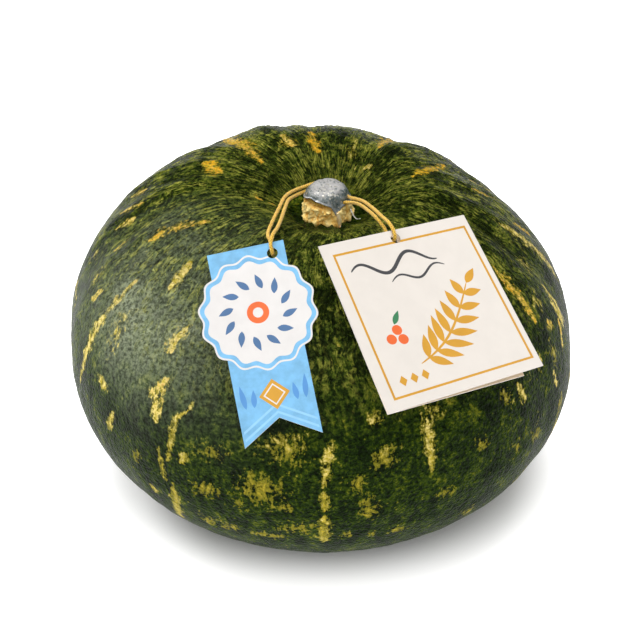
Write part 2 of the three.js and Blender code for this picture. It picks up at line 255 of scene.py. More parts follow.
def rind_finish():
    """Dark green skin with long yellow streaks, mottling and fine bumps; a waxy bloom with a painted sheen on
    the left shoulder, a top painted lighter green as painted light from above, and painted shade in the fine
    creases on the top.
    """
    f = Finish("rind")
    place = f.place()
    waver = f.noise(place, 95, 2, 0.5, output="Color")
    inputs = {0: waver, 1: (0.09, 0.09, 0.012), 2: f.stored("flow", "Vector")}
    flow = f.node("ShaderNodeVectorMath", inputs, operation="MULTIPLY_ADD").outputs[0]
    upper = f.stored("upper")
    long_wave = f.noise(f.stretch(flow, 26, 26, 60), 1.0, 4, 0.6)
    wrinkle = f.noise(f.stretch(flow, 52, 52, 125), 1.0, 3, 0.55, 0.9)
    hair = f.noise(f.stretch(flow, 125, 125, 320), 1.0, 2, 0.6)
    patch = f.noise(place, 85, 4, 0.62, 0.4)
    mottle = f.noise(place, 240, 3, 0.6, 0.3)
    grain = f.noise(place, 640, 3, 0.65, 0.2)
    pebble = f.cells(place, 780)

    def off(value, share):
        return f.times(f.sum("SUBTRACT", value), share)

    def total(*values):
        whole = values[0]
        for value in values[1:]:
            whole = f.sum("ADD", whole, value)
        return whole

    mix = total(0.5, off(long_wave, 0.7), off(patch, 0.8), off(grain, 1.2), off(mottle, 0.6))
    base = f.ramp(mix, (0.28, DARK_GREEN), (0.48, DEEP_GREEN), (0.70, LEAF_GREEN))
    # Painted light: the top of the skin is painted a lighter green, as though lit from above.
    sunlit = f.times(upper, f.remap(total(mix, off(wrinkle, 0.5)), 0.40, 0.66, 0.10, 0.95))
    base = f.blend(sunlit, base, SUNLIT_GREEN)
    fleck = total(0.5, off(patch, 1.0), off(grain, 1.1), off(mottle, 0.7), off(long_wave, 0.7))
    base = f.blend(f.remap(fleck, 0.66, 0.92, 0, 0.9), base, OLIVE)

    lines = total(0.5, off(wrinkle, 1.1), off(hair, 0.35), off(grain, 0.25))
    light_lines = f.times(f.remap(lines, 0.46, 0.67), upper)
    broken = f.remap(total(0.5, off(patch, 1.0), off(mottle, 1.0)), 0.40, 0.64, 0.06, 0.80)
    base = f.blend(f.times(light_lines, broken), base, RIDGE)
    # Painted shade: the fine creases on the top of the skin, where the bump is low, are painted darker.
    dark_lines = f.times(f.remap(lines, 0.46, 0.34), upper)
    base = f.blend(f.times(dark_lines, 0.60), base, CREASE_SHADE)

    feather = f.noise(f.stretch(flow, 75, 75, 110), 1.0, 3, 0.6)
    ragged = total(f.stored("streak"), off(feather, 3.0), off(mottle, 2.6), off(grain, 2.6), off(patch, 0.6))
    warmth = total(f.stored("warmth"), off(mottle, 1.2), off(feather, 0.8))
    warm = f.blend(f.remap(warmth, 0.1, 0.9), CREAM, AMBER)
    warm = f.blend(f.remap(warmth, -0.05, -0.65), warm, MOSS)
    tinted = f.blend(f.remap(grain, 0.38, 0.62), f.blend(0.6, OLIVE, YELLOW), warm)
    base = f.blend(f.remap(ragged, -0.20, 0.25, 0, 0.60), base, f.blend(0.20, OLIVE, YELLOW))
    base = f.blend(f.remap(ragged, 0.15, 0.80, 0, 0.90), base, tinted)

    # Painted sheen: the left shoulder is painted a pale grey green over its waxy bloom, where a soft box
    # would be mirrored.
    veil = f.times(f.stored("bloom_and_sheen"), f.remap(f.noise(place, 34, 4, 0.6), 0.30, 0.62, 0.35, 1))
    veil = f.times(veil, f.remap(ragged, 0.10, 0.50, 1, 0.40))
    base = f.blend(f.times(veil, f.remap(grain, 0.36, 0.62, 0.34, 0.98)), base, BLOOM_AND_SHEEN)
    scar = f.times(f.stored("scar"), f.remap(mottle, 0.35, 0.60, 0.45, 1))
    base = f.blend(scar, base, f.blend(f.remap(grain, 0.4, 0.6), (0.080, 0.045, 0.018), SCAR))
    f.set(Base_Color=base, Roughness=f.remap(grain, 0.3, 0.7, 0.26, 0.46))
    f.set(Specular_IOR_Level=SKIN_SPECULAR)

    fine = f.bump(pebble, 0.0012, 0.65)
    fine = f.bump(grain, 0.0016, 0.8, fine)
    fine = f.bump(mottle, 0.0016, 0.35, fine)
    fine = f.bump(f.times(lines, upper), 0.0030, 0.9, fine)
    f.set(Normal=fine)
    return f.material


def cork_finish():
    """Dry tan cork, with painted light making it pale on its knobs and painted shade making it brown in its
    fissures.
    """
    f = Finish("cork")
    place = f.place()
    height = f.stored("knob")
    speck = f.noise(place, 1500, 3, 0.6)
    # Painted light and shade: the stored tone is high on the knobs and low in the fissures.
    tone = f.sum("ADD", height, f.times(f.sum("SUBTRACT", speck), 0.5))
    base = f.ramp(tone, (0.02, (0.380, 0.140, 0.015)), (0.14, (0.860, 0.430, 0.070)),
                  (0.30, (0.990, 0.630, 0.150)), (0.66, (0.990, 0.770, 0.300)))
    f.set(Base_Color=base, Roughness=0.75, Normal=f.bump(speck, 0.0005, 0.8))
    return f.material


def wax_finish():
    """Silvery blue sealing wax full of glitter, paler where it is thin at the lip, and paler and warmer at
    the top of the dome, which is a tint of the wax together with painted light from above.
    """
    f = Finish("wax")
    place = f.place()
    glint = f.node("ShaderNodeSeparateColor", {0: f.cells(place, 1500, "Color")})
    cloud = f.noise(place, 260, 3, 0.6)
    base = f.ramp(cloud, (0.35, (0.040, 0.060, 0.060)), (0.52, (0.105, 0.130, 0.130)),
                  (0.68, (0.300, 0.320, 0.330)))
    # Painted light: the top of the dome is paler, together with a warmer tint of the wax there.
    base = f.blend(f.times(f.stored("top"), 0.75), base, (0.360, 0.345, 0.335))
    base = f.blend(f.remap(glint.outputs[0], 0.74, 0.98, 0, 0.8), base, (0.540, 0.520, 0.450))
    base = f.blend(f.remap(glint.outputs[1], 0.78, 0.98, 0, 0.8), base, (0.030, 0.055, 0.055))
    base = f.blend(f.stored("thin"), base, (0.620, 0.630, 0.660))
    f.set(Base_Color=base, Roughness=f.remap(glint.outputs[2], 0.0, 1.0, 0.16, 0.45))
    f.set(Metallic=f.remap(glint.outputs[0], 0.74, 0.98, 0.0, 0.45))
    f.set(Normal=f.bump(glint.outputs[1], 0.00012, 0.7, f.bump(cloud, 0.0005, 0.5)))
    return f.material


def amber_finish():
    """A clear amber run of wax."""
    f = Finish("amber_wax")
    tone = f.noise(f.place(), 500, 3)
    f.set(Base_Color=f.ramp(tone, (0.35, (0.620, 0.330, 0.070)), (0.65, (0.900, 0.720, 0.420))))
    f.set(Roughness=0.12, Subsurface_Weight=0.3, Coat_Weight=0.6)
    f.shader.inputs["Subsurface Radius"].default_value = (0.002, 0.001, 0.0005)
    return f.material


def pale_wax_finish():
    """A hair of pale wax."""
    f = Finish("pale_wax")
    f.set(Base_Color=f.ramp(f.noise(f.place(), 800), (0.3, (0.55, 0.55, 0.52)), (0.7, (0.85, 0.84, 0.78))))
    f.set(Roughness=0.25)
    return f.material


YARN_PITCH = 0.0011


def cord_finish():
    """Golden yellow cord whose fine yarns cross each other along it."""
    f = Finish("yellow_cord")
    along = f.node("ShaderNodeUVMap", uv_map="along").outputs[0]
    parts = f.node("ShaderNodeSeparateXYZ", {0: along})
    u = f.times(parts.outputs[0], math.tau)
    v = f.times(parts.outputs[1], math.tau / YARN_PITCH)
    left = f.sum("SINE", f.sum("ADD", f.times(u, 4.0), v), None)
    right = f.sum("SINE", f.sum("SUBTRACT", f.times(u, 4.0), v), None)
    weave = f.sum("MAXIMUM", left, right)
    fibre = f.noise(f.place(), 2600, 2, 0.6)
    # Painted shade: the cord is darker where the weave is low, between the yarns.
    tone = f.sum("ADD", f.times(weave, 0.3), fibre)
    base = f.ramp(tone, (0.25, (0.300, 0.120, 0.003)), (0.55, (0.700, 0.370, 0.006)),
                  (0.90, (0.900, 0.600, 0.045)))
    f.set(Base_Color=base, Roughness=0.5, Sheen_Weight=0.3)
    f.set(Normal=f.bump(weave, 0.00022, 0.8, f.bump(fibre, 0.0001, 0.6)))
    return f.material


def ink(name, colour, roughness=0.5, cloud=0.06, cloud_scale=120):
    """Card or print: its colour drifts a little, and paper fibre shows in the surface."""
    f = Finish(name)
    place = f.place()
    drift = f.noise(place, cloud_scale, 4, 0.6)
    dark = tuple(c * (1 - cloud) for c in colour)
    light = tuple(min(1, c * (1 + cloud)) for c in colour)
    f.set(Base_Color=f.ramp(drift, (0.35, dark), (0.65, light)), Roughness=roughness)
    f.set(Normal=f.bump(f.noise(place, 3500, 2), 0.00004, 0.6))
    return f.material


# The fruit's shape, from the same formulas as its solid

def smooth(value, low, high):
    share = np.clip((value - low) / (high - low), 0, 1)
    return share * share * (3 - 2 * share)


def mixed(a, b, share):
    return a + (b - a) * share


def bearings_round(count):
    """Even bearings all the way round, in radians, as one row."""
    return np.linspace(-math.pi, math.pi, count, endpoint=False)[None, :]


def spline(points, shares):
    """A smooth curve through points in a plane, at shares from 0 to 1 of its spans."""
    spans = len(points) - 1
    at = np.asarray(shares) * spans
    i = np.minimum(at.astype(int), spans - 1)
    w = (at - i)[:, None]
    p0, p1 = points[np.maximum(i - 1, 0)], points[i]
    p2, p3 = points[i + 1], points[np.minimum(i + 2, spans)]
    v0, v1 = (p2 - p0) / 2, (p3 - p1) / 2
    return (2 * p1 - 2 * p2 + v0 + v1) * w ** 3 + (3 * p2 - 3 * p1 - 2 * v0 - v1) * w ** 2 + v0 * w + p1


def distance_along(points):
    steps = np.linalg.norm(np.diff(points, axis=0), axis=1)
    return np.concatenate([[0], np.cumsum(steps)])


def even_shares(points, count):
    """Shares that step evenly along a spline, and the whole length of it."""
    fine = np.linspace(0, 1, 4001)
    run = distance_along(spline(points, fine))
    return np.interp(np.linspace(0, run[-1], count), run, fine), run[-1]


def skin_relief(phi, radius, height):
    behind = np.maximum(0, np.sin(phi)) ** 2
    bent = phi + 0.31 * behind + 0.09 * np.sin(3 * phi + 0.8) + 0.04 * np.sin(7 * phi + 2.1)
    furrow = np.abs(np.cos(FURROWS / 2 * bent)) ** 7
    body = smooth(height, 8, 60)
    rim = smooth(height, 95, 135)
    basin = 1 - smooth(radius, 16, 44)
    lumps = np.sin(17 * phi + 0.5 * np.sin(2 * phi)) + 0.7 * np.sin(23 * phi + 1.3)
    return (-FURROW_DEPTH * furrow * (0.35 * body + 0.65 * rim) + 0.5 * lumps * rim
            + 0.6 * basin * rim * np.sin(13 * phi + 0.06 * radius))


def out_of_round(phi, height):
    flat = np.maximum(0, -np.cos(phi)) ** 3 * smooth(height, 5, 30) * (1 - smooth(height, 50, 85))
    return 1 + 0.005 * np.cos(2 * phi - 0.9) + 0.004 * np.cos(3 * phi + 1.2) - 0.012 * flat


def cork_relief(phi, height):
    up = height - STEM_BASE
    ribs = 0.45 * np.sin(5 * phi + 0.35 * up) + 0.35 * np.sin(9 * phi - 0.5 * up + 1)
    knobs = 0.32 * np.sin(14 * phi + 1.9 * np.sin(0.9 * up)) * np.sin(1.1 * up + 2 * phi)
    below_neck = 1 - smooth(height, NECK_HEIGHT - 2.9, NECK_HEIGHT - 1.4)
    return (ribs + knobs) * below_neck + 0.8 * (1 - smooth(up, 0, 3)) * np.sin(5 * phi + 2)


def skin_points(curve, shares, phi, stem):
    """Points of the skin in millimetres: one row for each share, one column for each bearing."""
    base = spline(curve, shares)
    radius, height = base[:, :1], base[:, 1:]
    on_stem = smooth(np.asarray(shares)[:, None], 0, 0.12) if stem else 0.0
    x = np.cos(phi) * radius
    y = np.sin(phi) * radius
    above_core = height - CORE_HEIGHT
    reach = np.sqrt(radius ** 2 + above_core ** 2)
    swell = skin_relief(phi, radius, height) * (1 - on_stem) * smooth(radius, 0, 9) / reach
    stretch = mixed(out_of_round(phi, height), 1, smooth(height, 100, 140))
    x = x * (1 + swell) * stretch
    y = y * (1 + swell) * stretch
    z = height + above_core * swell
    outward = np.minimum(cork_relief(phi, height) * on_stem * smooth(radius, 0, 5), radius)
    x = x + np.cos(phi) * outward
    y = y + np.sin(phi) * outward
    up = smooth(height, 50, 135)
    z = z - SHOULDER_TILT * up * x / FRUIT_RADIUS
    near_stem = up * (1 - smooth(radius, 18, 60))
    x = x + mixed(LEAN * (CORE_HEIGHT - height) / CORE_HEIGHT, STEM_SHIFT, near_stem)
    return np.stack([x, y, np.maximum(0, z)], -1)


def grid_normals(points):
    """Outward normals of a grid whose rows run upwards and whose columns close round on themselves."""
    across = np.roll(points, -1, 1) - np.roll(points, 1, 1)
    upward = np.gradient(points, axis=0)
    normal = np.cross(across, upward)
    length = np.linalg.norm(normal, axis=-1, keepdims=True)
    return normal / np.maximum(length, 1e-9)


def noise_at(points):
    """Smooth noise from -1 to 1 at each point."""
    flat = np.asarray(points, float).reshape(-1, 3)
    return np.array([noise.noise(Vector(p)) for p in flat]).reshape(points.shape[:-1])


# The markings that the photograph shows. A streak is its half width in millimetres, its warmth from cream 0
# to amber 1, and the places in the photograph that it runs through, in pixels from the top left corner.
PHOTO_SIZE = 640
STREAK_SPREAD = 1.2  # the ragged edge eats into a streak, so it is laid wider than it looks
STREAKS = [
    (1.7, 0.15, [(142, 275), (132, 285), (112, 306), (98, 326), (90, 346), (83, 367), (80, 386)]),
    (2.2, 0.60, [(216, 221), (194, 222), (168, 229), (147, 242)]),
    (2.3, 0.10, [(194, 260), (168, 291)]),
    (2.2, 0.15, [(192, 320), (177, 339), (168, 355)]),
    (2.6, 0.35, [(168, 374), (154, 395), (157, 417), (156, 426)]),
    (1.6, 0.40, [(150, 188), (130, 198)]),
    (1.4, 0.40, [(147, 201), (119, 215)]),
    (1.4, 0.30, [(137, 216), (114, 232)]),
    (1.5, 0.30, [(130, 238), (112, 253)]),
    (1.7, 0.30, [(104, 289), (91, 301)]),
    (2.5, 0.35, [(101, 372), (104, 393)]),
    (1.8, 0.10, [(334, 438), (328, 451), (324, 491)]),
    (1.6, 0.10, [(324, 491), (324, 515)]),
    (2.0, 0.10, [(324, 515), (324, 543)]),
    (1.8, 0.10, [(421, 410), (430, 434), (431, 453), (432, 474)]),
    (1.6, 0.20, [(516, 379), (526, 405)]),
    (1.3, 0.50, [(553, 370), (557, 389)]),
    (3.0, 0.60, [(224, 138), (243, 145), (264, 163)]),
    (3.2, 0.75, [(201, 163), (226, 174)]),
    (2.4, 0.45, [(280, 134), (295, 149)]),
    (2.0, 0.80, [(312, 131), (317, 156)]),
    (2.4, 0.80, [(392, 138), (379, 149)]),
    (2.4, 0.80, [(446, 164), (425, 170), (410, 177)]),
    (1.8, -0.20, [(371, 162), (364, 172)]),
    (1.2, 0.60, [(251, 193), (279, 208)]),
    (1.2, 0.00, [(195, 396), (188, 410), (176, 418), (171, 441), (168, 463)]),
    (1.2, 0.00, [(160, 445), (162, 469), (166, 484)]),
    (1.9, 0.10, [(173, 480), (177, 503), (184, 519)]),
    (1.7, 0.10, [(185, 450), (180, 466)]),
    (1.7, 0.20, [(114, 409), (110, 433)]),
    (1.4, 0.20, [(150, 482), (157, 495)]),
    (1.3, 0.70, [(469, 188), (499, 201)]),
    (1.7, 0.70, [(511, 221), (531, 236)]),
    (2.0, 0.60, [(545, 320), (553, 330)]),
    (1.3, 0.70, [(556, 310), (563, 355)]),
]

# A blot is its place in the photograph, its half width and half length in millimetres, and its solidity.
BLOTS = [
    ((384, 457), 5, 4.5, 0.8), ((359, 483), 4, 3.5, 0.7), ((369, 508), 4, 6.5, 0.7),
    ((348, 534), 2.6, 3, 0.6), ((372, 533), 2.4, 3, 0.6), ((400, 529), 4.5, 3, 0.6),
    ((446, 493), 4, 4, 0.5), ((467, 512), 4, 4.5, 0.5), ((436, 412), 5.5, 4.5, 0.5),
    ((374, 420), 4.5, 3, 0.5), ((483, 443), 4, 5, 0.4), ((507, 400), 3.5, 5, 0.6),
    ((303, 530), 4, 4, 0.6), ((260, 490), 8, 6, 0.8), ((204, 490), 5.5, 4, 0.7),
    ((286, 450), 9, 8, 0.6), ((215, 452), 6.5, 5, 0.5), ((281, 508), 4.5, 3.5, 0.6),
    ((298, 528), 6.5, 3.5, 0.7), ((206, 519), 3.5, 4, 0.7), ((231, 527), 4, 4, 0.6),
    ((270, 536), 6.5, 3, 0.6), ((239, 504), 3.5, 3.5, 0.5), ((118, 331), 5, 11, 0.6),
    ((94, 258), 4, 3.5, 0.7), ((139, 458), 3.5, 4.5, 0.5), ((353, 150), 4, 12, 0.4),
]


OUT_OF_SIGHT = 1e6


def seen_places(grid, phi, way):
    """A function that gives the bearing and the way down from the stem of the skin seen at a pixel."""
    back = np.array((0, -math.cos(CAMERA_RISE), math.sin(CAMERA_RISE)))
    upward = np.array((0, math.sin(CAMERA_RISE), math.cos(CAMERA_RISE)))
    sight = placed(grid) - np.array(CAMERA_AIM) - back * CAMERA_DISTANCE
    scale = PHOTO_SIZE * CAMERA_LENS / SENSOR_WIDTH / -(sight @ back)
    x = PHOTO_SIZE / 2 + sight[:, 0] * scale
    y = PHOTO_SIZE / 2 - sight @ upward * scale
    hidden = (grid_normals(grid).reshape(-1, 3) * sight).sum(1) > 0
    bearings = np.broadcast_to(np.degrees(phi), way.shape).ravel()
    ways = way.ravel()

    def find(place):
        apart = np.hypot(x - place[0], y - place[1]) + OUT_OF_SIGHT * hidden
        nearest = np.argmin(apart)
        return bearings[nearest], ways[nearest]

    return find


MARK_SEED = 7
HIDDEN_STREAKS = ((25, 165, 34), (-30, 25, 8))  # from bearing, to bearing, count
HIDDEN_BLOTS = 90


def random_marks():
    """More of both kinds of mark on the sides that the photograph doesn't show."""
    draw = np.random.default_rng(MARK_SEED)
    streaks, blots = [], []
    for start, stop, count in HIDDEN_STREAKS:
        for _ in range(count):
            bearing = draw.uniform(start, stop)
            far = draw.uniform(62, 175)
            length = draw.uniform(14, 46)
            turn = draw.uniform(-3, 3)
            half = draw.uniform(0.9, 2.3)
            warm = draw.uniform(0, 0.6)
            streaks.append((half, warm, [(bearing, far), (bearing + turn, far + length)]))
    for _ in range(HIDDEN_BLOTS):
        bearing = draw.uniform(-50, 195)
        far = draw.uniform(75, 200)
        half = draw.uniform(2, 7)
        length = draw.uniform(2.5, 8)
        blots.append((bearing, far, half, length, draw.uniform(0.3, 0.8)))
    return streaks, blots


BLOT_WARMTH = -0.25
WARMTH_EDGE = -0.6  # a mark gives its warmth to the skin around it, out to this depth in the field


def paint_marks(grid, phi, way, radius):
    """How deep each point lies in a streak or a blot, from -1 outside to 1, and how warm the mark is."""
    find = seen_places(grid, phi, way)
    field = np.full(np.broadcast(phi, way).shape, -1.0)
    warmth = np.zeros_like(field)
    degrees = np.degrees(phi)
    more_streaks, more_blots = random_marks()
    streaks = [(half, warm, [find(place) for place in places]) for half, warm, places in STREAKS]
    blots = [(*find(place), *rest) for place, *rest in BLOTS]
    for half, warm, places in streaks + more_streaks:
        places = sorted(places, key=lambda place: place[1])
        bearings = np.degrees(np.unwrap([math.radians(place[0]) for place in places]))
        ways = [place[1] for place in places]
        share = (way - ways[0]) / (ways[-1] - ways[0])
        middle = np.interp(way, ways, bearings)
        off = (degrees - middle + 180) % 360 - 180
        width = half * STREAK_SPREAD * np.clip(4 * share * (1 - share), 0, 1) ** 0.7 + 0.05
        inside = np.where((share > 0) & (share < 1), 1 - np.abs(np.radians(off)) * radius / width, -1.0)
        warmth = np.where(inside > np.maximum(field, WARMTH_EDGE), warm, warmth)
        field = np.maximum(field, inside)
    for bearing, far, half, length, solid in blots + more_blots:
        off = (degrees - bearing + 180) % 360 - 180
        across = np.radians(off) * radius / half
        inside = 0.75 * solid - np.sqrt(across ** 2 + ((way - far) / length) ** 2) * 0.8
        warmth = np.where(inside > np.maximum(field, WARMTH_EDGE), BLOT_WARMTH, warmth)
        field = np.maximum(field, inside)
    return np.maximum(field, -1), warmth - 0.65 * smooth(way, 88, 140)


RIND_ROWS = 208
RIND_COLUMNS = 448


def make_rind(material):
    """The skin from the blossom scar up to the foot of the stem, closed under the stem."""
    shares, length = even_shares(FRUIT_MERIDIAN, RIND_ROWS)
    shares = shares[1:]
    phi = bearings_round(RIND_COLUMNS)
    grid = skin_points(FRUIT_MERIDIAN, shares, phi, False)
    plain = grid
    base = spline(FRUIT_MERIDIAN, shares)
    radius, height = base[:, :1], base[:, 1:]
    way = length * (1 - np.arange(1, RIND_ROWS) / (RIND_ROWS - 1))[:, None] + 0 * phi
    flow = np.stack([np.cos(phi) + 0 * way, np.sin(phi) + 0 * way, way * MM], -1)

    upper = (1 - smooth(way, 62, 112)) * smooth(way, 0, 6)
    ridges = noise_at(flow * (46, 46, 70)) + 0.5 * noise_at(flow * (90, 90, 140) + 7)
    swells = noise_at(grid / 13) + 0.5 * noise_at(grid / 6 + 31)
    pebbles = noise_at(grid / 2.6 + 11)
    calm = smooth(height, 1.5, 10)
    lift = 0.42 * ridges * upper + (0.28 * swells + 0.16 * pebbles) * calm
    grid = grid + grid_normals(grid) * lift[..., None]
    grid[..., 2] = np.maximum(0, grid[..., 2])

    foot = np.array([[STEM_SHIFT, 0, STEM_BASE - 1.5]])
    scar = np.array([[LEAN, 0, FRUIT_MERIDIAN[0][1]]])
    points = placed(np.concatenate([scar, grid.reshape(-1, 3), foot]))
    piece = make_piece("rind", points, ring_faces(len(shares), RIND_COLUMNS), [material])

    def with_ends(values, ends):
        return np.concatenate([[ends[0]], values.reshape(-1, *np.shape(ends[0])), [ends[1]]])

    field, warmth = paint_marks(plain, phi, way, radius)
    # Where the painted sheen lies: a patch on the left shoulder, over the waxy bloom.
    bloom_and_sheen = np.exp(-((np.degrees(phi) + 143) / 27) ** 2 - ((way - 74) / 33) ** 2)
    scar = (1 - smooth(radius, 5, 10)) * (height < CORE_HEIGHT) + 0 * phi
    add_vector(piece, "flow", with_ends(flow, ((0, 0, length * MM), (0, 0, 0))))
    numbers = {"scar": (scar, (1.0, 0.0)), "upper": (upper, (0.0, 0.0)), "streak": (field, (-1.0, -1.0)),
               "warmth": (warmth, (0.0, 0.0)), "bloom_and_sheen": (np.clip(bloom_and_sheen, 0, 1), (0.0, 0.0))}
    for name, (values, ends) in numbers.items():
        add_number(piece, name, with_ends(values, ends))
    return piece


STEM_ROWS = 130
STEM_COLUMNS = 300
STEM_FOOT_RADIUS = 10.9


def make_stem(material):
    """The corky stem, from just inside the skin up to its cut end under the wax."""
    shares, _ = even_shares(STEM_MERIDIAN, STEM_ROWS)
    shares = shares[spline(STEM_MERIDIAN, shares)[:, 0] < STEM_FOOT_RADIUS][:-1]
    phi = bearings_round(STEM_COLUMNS)
    grid = skin_points(STEM_MERIDIAN, shares, phi, True)
    height = grid[..., 2:3]
    cork = (1 - smooth(height, NECK_HEIGHT - 2.4, NECK_HEIGHT - 1))[..., 0]
    outward = np.stack([np.cos(phi) + 0 * cork, np.sin(phi) + 0 * cork, 0 * cork], -1)

    def cell_depth(across, upward, seed):
        places = np.concatenate([outward[..., :2] * STEM_RADIUS / across, height / upward], -1) + seed
        flat = places.reshape(-1, 3)
        wobble = np.stack([noise_at(flat * 1.3 + shift) for shift in (0, 17, 31)], -1)
        near = [noise.voronoi(Vector(p))[0] for p in flat + 0.3 * wobble]
        return np.array([d[1] - d[0] for d in near]).reshape(cork.shape)

    knob = np.clip(cell_depth(3.1, 6.5, 4.0) * 1.9, 0, 1) ** 0.5
    grit = np.clip(cell_depth(1.2, 1.7, 9.0) * 1.6, 0, 1) ** 0.6
    ripple = noise_at(np.concatenate([grid[..., :2] / 0.9, height / 4], -1))
    crumb = noise_at(grid / 0.8)
    lift = (1.1 * (knob - 0.8) + 0.45 * (grit - 0.7) + 0.25 * ripple + 0.2 * crumb) * cork
    grid = grid + outward * lift[..., None]
    skirt = grid[:1] - (0, 0, 2.0)
    grid = np.concatenate([skirt, grid])
    foot = np.array([[STEM_SHIFT, 0, STEM_BASE - 1]])
    tip = np.array([[STEM_SHIFT, 0, STEM_TOP]])
    points = placed(np.concatenate([foot, grid.reshape(-1, 3), tip]))
    piece = make_piece("cork_stem", points, ring_faces(len(grid), STEM_COLUMNS), [material])
    # Painted light and shade: the cork's tone rises on the knobs, falls in the fissures, and falls further
    # above the neck, under the wax.
    tone = (0.66 * knob + 0.30 * grit + 0.02 + 0.14 * ripple + 0.10 * crumb) * (0.35 + 0.65 * cork)
    add_number(piece, "knob", np.concatenate([[0], tone[0], tone.ravel(), [0]]))
    return piece


# The wax cap

DRIP_BEARING = math.radians(-66)
DRIP_LENGTH = 3.4
GAP_BEARING = math.radians(-128)
WAX_ROWS = 46
WAX_COLUMNS = 300


def wax_lip(phi):
    away = np.arctan2(np.sin(phi - GAP_BEARING), np.cos(phi - GAP_BEARING))
    gap = np.exp(-((away / 0.72) ** 2))
    return NECK_HEIGHT - 1.2 + 3.7 * gap + 0.22 * np.sin(7 * phi) + 0.15 * np.sin(13 * phi + 1)


def make_wax(material):
    """A lumpy dome with a rolled lip and a run of wax down the front, closed underneath."""
    phi = bearings_round(WAX_COLUMNS)
    lip = wax_lip(phi)
    run = np.exp(-(((phi - DRIP_BEARING) / 0.17) ** 2))
    short_run = np.exp(-(((phi + math.radians(20)) / 0.14) ** 2))
    droop = DRIP_LENGTH * run + 0.9 * short_run
    pale_side = 0.35 + 0.65 * smooth(-phi, 1.4, 2.2)
    rows, thin, top = [], [], []

    def row(radius, height, thinness):
        x = np.cos(phi) * radius + STEM_SHIFT
        rows.append(np.stack([x, np.sin(phi) * radius, height + 0 * phi], -1)[0])
        thin.append(np.broadcast_to(thinness, phi.shape)[0])
        # How far up the dome the paler top, partly painted light, reaches
        top.append(np.broadcast_to(smooth(height, WAX_TOP - 3.2, WAX_TOP - 1.4), phi.shape)[0])

    for share in np.linspace(0, 1, 8):
        radius = mixed(NECK_RADIUS - 0.4, WAX_RADIUS - 0.4 + 1.1 * run, share)
        row(radius, mixed(lip + 0.9, lip - droop + 0.1, share ** 2), 0.3)
    for share in np.linspace(0, 1, WAX_ROWS)[1:-1]:
        turn = share * math.pi / 2
        roll = math.exp(-(((share - 0.06) / 0.08) ** 2))
        radius = (WAX_RADIUS - 0.1 + 0.15 * np.sin(2 * phi + 1)) * math.cos(turn) ** 0.5 + 0.45 * roll
        radius = radius + 1.2 * run * math.exp(-share * 9)
        bottom = lip - droop * math.exp(-share * 6)
        row(radius, bottom + (WAX_TOP - 1.1 - bottom) * math.sin(turn) ** 1.15, 0.8 * roll * pale_side)
    grid = np.stack(rows)
    lumps = noise_at(grid / 3.4) + 0.5 * noise_at(grid / 1.4 + 9)
    outer = np.ones(len(rows))
    outer[:7] = 0
    grid = grid + grid_normals(grid) * (0.26 * lumps * outer[:, None])[..., None]
    bottom = np.array([[STEM_SHIFT, 0, NECK_HEIGHT + 0.6]])
    tip = np.array([[STEM_SHIFT, 0, WAX_TOP - 1.1]])
    points = placed(np.concatenate([bottom, grid.reshape(-1, 3), tip]))
    piece = make_piece("sealing_wax", points, ring_faces(len(rows), WAX_COLUMNS), [material])
    add_number(piece, "thin", np.concatenate([[0], np.stack(thin).ravel(), [0]]))
    add_number(piece, "top", np.concatenate([[0], np.stack(top).ravel(), [1]]))
    return piece


# Tubes that follow a path: the cords and the runs of wax

def centripetal(points, count):
    """Evenly spaced points on the smooth curve that the cord's solid follows."""
    p = np.array([2 * points[0] - points[1], *points, 2 * points[-1] - points[-2]])
    out = []
    for i in range(1, len(p) - 2):
        d0, d1, d2 = (math.sqrt(np.linalg.norm(p[i + k] - p[i + k - 1])) for k in (0, 1, 2))
        t1 = (p[i] - p[i - 1]) / d0 - (p[i + 1] - p[i - 1]) / (d0 + d1) + (p[i + 1] - p[i]) / d1
        t2 = (p[i + 1] - p[i]) / d1 - (p[i + 2] - p[i]) / (d1 + d2) + (p[i + 2] - p[i + 1]) / d2
        t1, t2 = t1 * d1, t2 * d1
        w = np.linspace(0, 1, 60, endpoint=False)[:, None]
        a, b = p[i], p[i + 1]
        out.append(a + t1 * w + (3 * b - 3 * a - 2 * t1 - t2) * w ** 2 + (2 * a - 2 * b + t1 + t2) * w ** 3)
    curve = np.concatenate([*out, p[-2:-1]])
    run = distance_along(curve)
    even = np.linspace(0, run[-1], count)
    return np.stack([np.interp(even, run, curve[:, k]) for k in range(3)], 1), run[-1]


def carried_frames(path):
    """Two directions across a path at each point, carried along it without twist."""
    ahead = np.gradient(path, axis=0)
    ahead /= np.linalg.norm(ahead, axis=1, keepdims=True)
    side = np.cross(ahead[0], (0, 0, 1.0))
    sides = []
    for direction in ahead:
        side = side - direction * np.dot(side, direction)
        side = side / np.linalg.norm(side)
        sides.append(side)
    sides = np.array(sides)
    return sides, np.cross(ahead, sides)


def make_tube(name, path, radius, sides, material):
    """A closed tube in millimetres. radius gives the distance from the path for each ring and side."""
    turn = np.linspace(0, math.tau, sides, endpoint=False)[None, :]
    u, v = carried_frames(path)
    ring = radius * np.ones((len(path), sides))
    along_u = (np.cos(turn) * ring)[..., None] * u[:, None]
    along_v = (np.sin(turn) * ring)[..., None] * v[:, None]
    grid = path[:, None] + along_u + along_v
    points = placed(np.concatenate([path[:1], grid.reshape(-1, 3), path[-1:]]))
    return make_piece(name, points, ring_faces(len(path), sides), [material])


def neck_point(bearing, turn=0):
    radius = NECK_RADIUS + GAP + CORD_RADIUS
    angle = math.radians(bearing)
    return (STEM_SHIFT + radius * math.cos(angle), radius * math.sin(angle), NECK_HEIGHT + turn * TURN_RISE)


